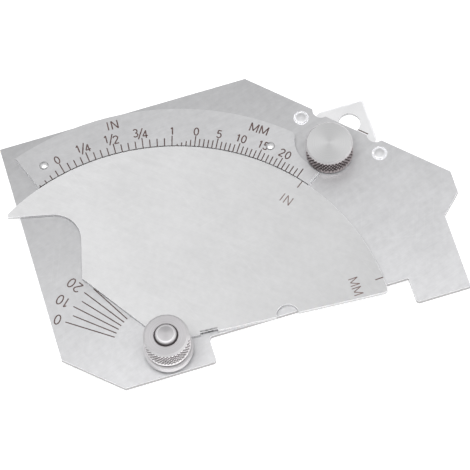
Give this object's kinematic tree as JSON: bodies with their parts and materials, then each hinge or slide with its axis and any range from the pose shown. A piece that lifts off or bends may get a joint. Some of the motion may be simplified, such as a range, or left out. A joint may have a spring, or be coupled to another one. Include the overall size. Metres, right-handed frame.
{
  "type": "weld gauge",
  "caption": "Flat steel bridge cam weld gauge: body plate with feet, swinging beaked cam read on a curved scale, angle fan, and a pointed throat slide with knurled locks.",
  "frame": {"origin": "on the foot faces, straight below the cam's pivot, at the middle of the body plate's thickness", "axes": "+X along the feet towards the nose, +Y up from the feet, +Z out of the front face, so the gauge lies on its back"},
  "size_m": [0.1021, 0.0681, 0.0134],
  "materials": {
    "body_steel": "satin brushed stainless",
    "scale_steel": "satin brushed stainless, etched lines",
    "cam_steel": "fine brushed stainless",
    "slide_steel": "fine brushed stainless",
    "polished_steel": "polished",
    "knurled_steel": "turned face, diamond knurl"
  },
  "bodies": {
    "body": {"body_plate": "body_steel", "scale_plate": "scale_steel", "scale_rivets": "polished_steel", "pivot_stud": "polished_steel", "pivot_washer": "polished_steel", "guide_bracket": "slide_steel", "guide_rivets": "polished_steel"},
    "cam": {"cam_plate": "cam_steel"},
    "cam_nut": {"cam_lock_nut": "knurled_steel"},
    "slide": {"throat_slide": "slide_steel"},
    "lock_screw": {"slide_lock_screw": "knurled_steel"}
  },
  "joints": [
    {"name": "cam_swing", "type": "hinge", "parent": "body", "child": "cam", "pos_m": [0, 0.0058, 0], "axis": [0, 0, 1], "range_deg": [-35, 71]},
    {"name": "nut_turn", "type": "hinge", "parent": "body", "child": "cam_nut", "pos_m": [0, 0.0058, 0], "axis": [0, 0, 1], "range_deg": [0, 180]},
    {"name": "throat_travel", "type": "slide", "parent": "body", "child": "slide", "axis": [0.7071, 0.7071, 0], "range_m": [-0.0009, 0.0191]},
    {"name": "lock_turn", "type": "hinge", "parent": "body", "child": "lock_screw", "pos_m": [0.04988, 0.04273, 0], "axis": [0, 0, 1], "range_deg": [0, 180]}
  ]
}
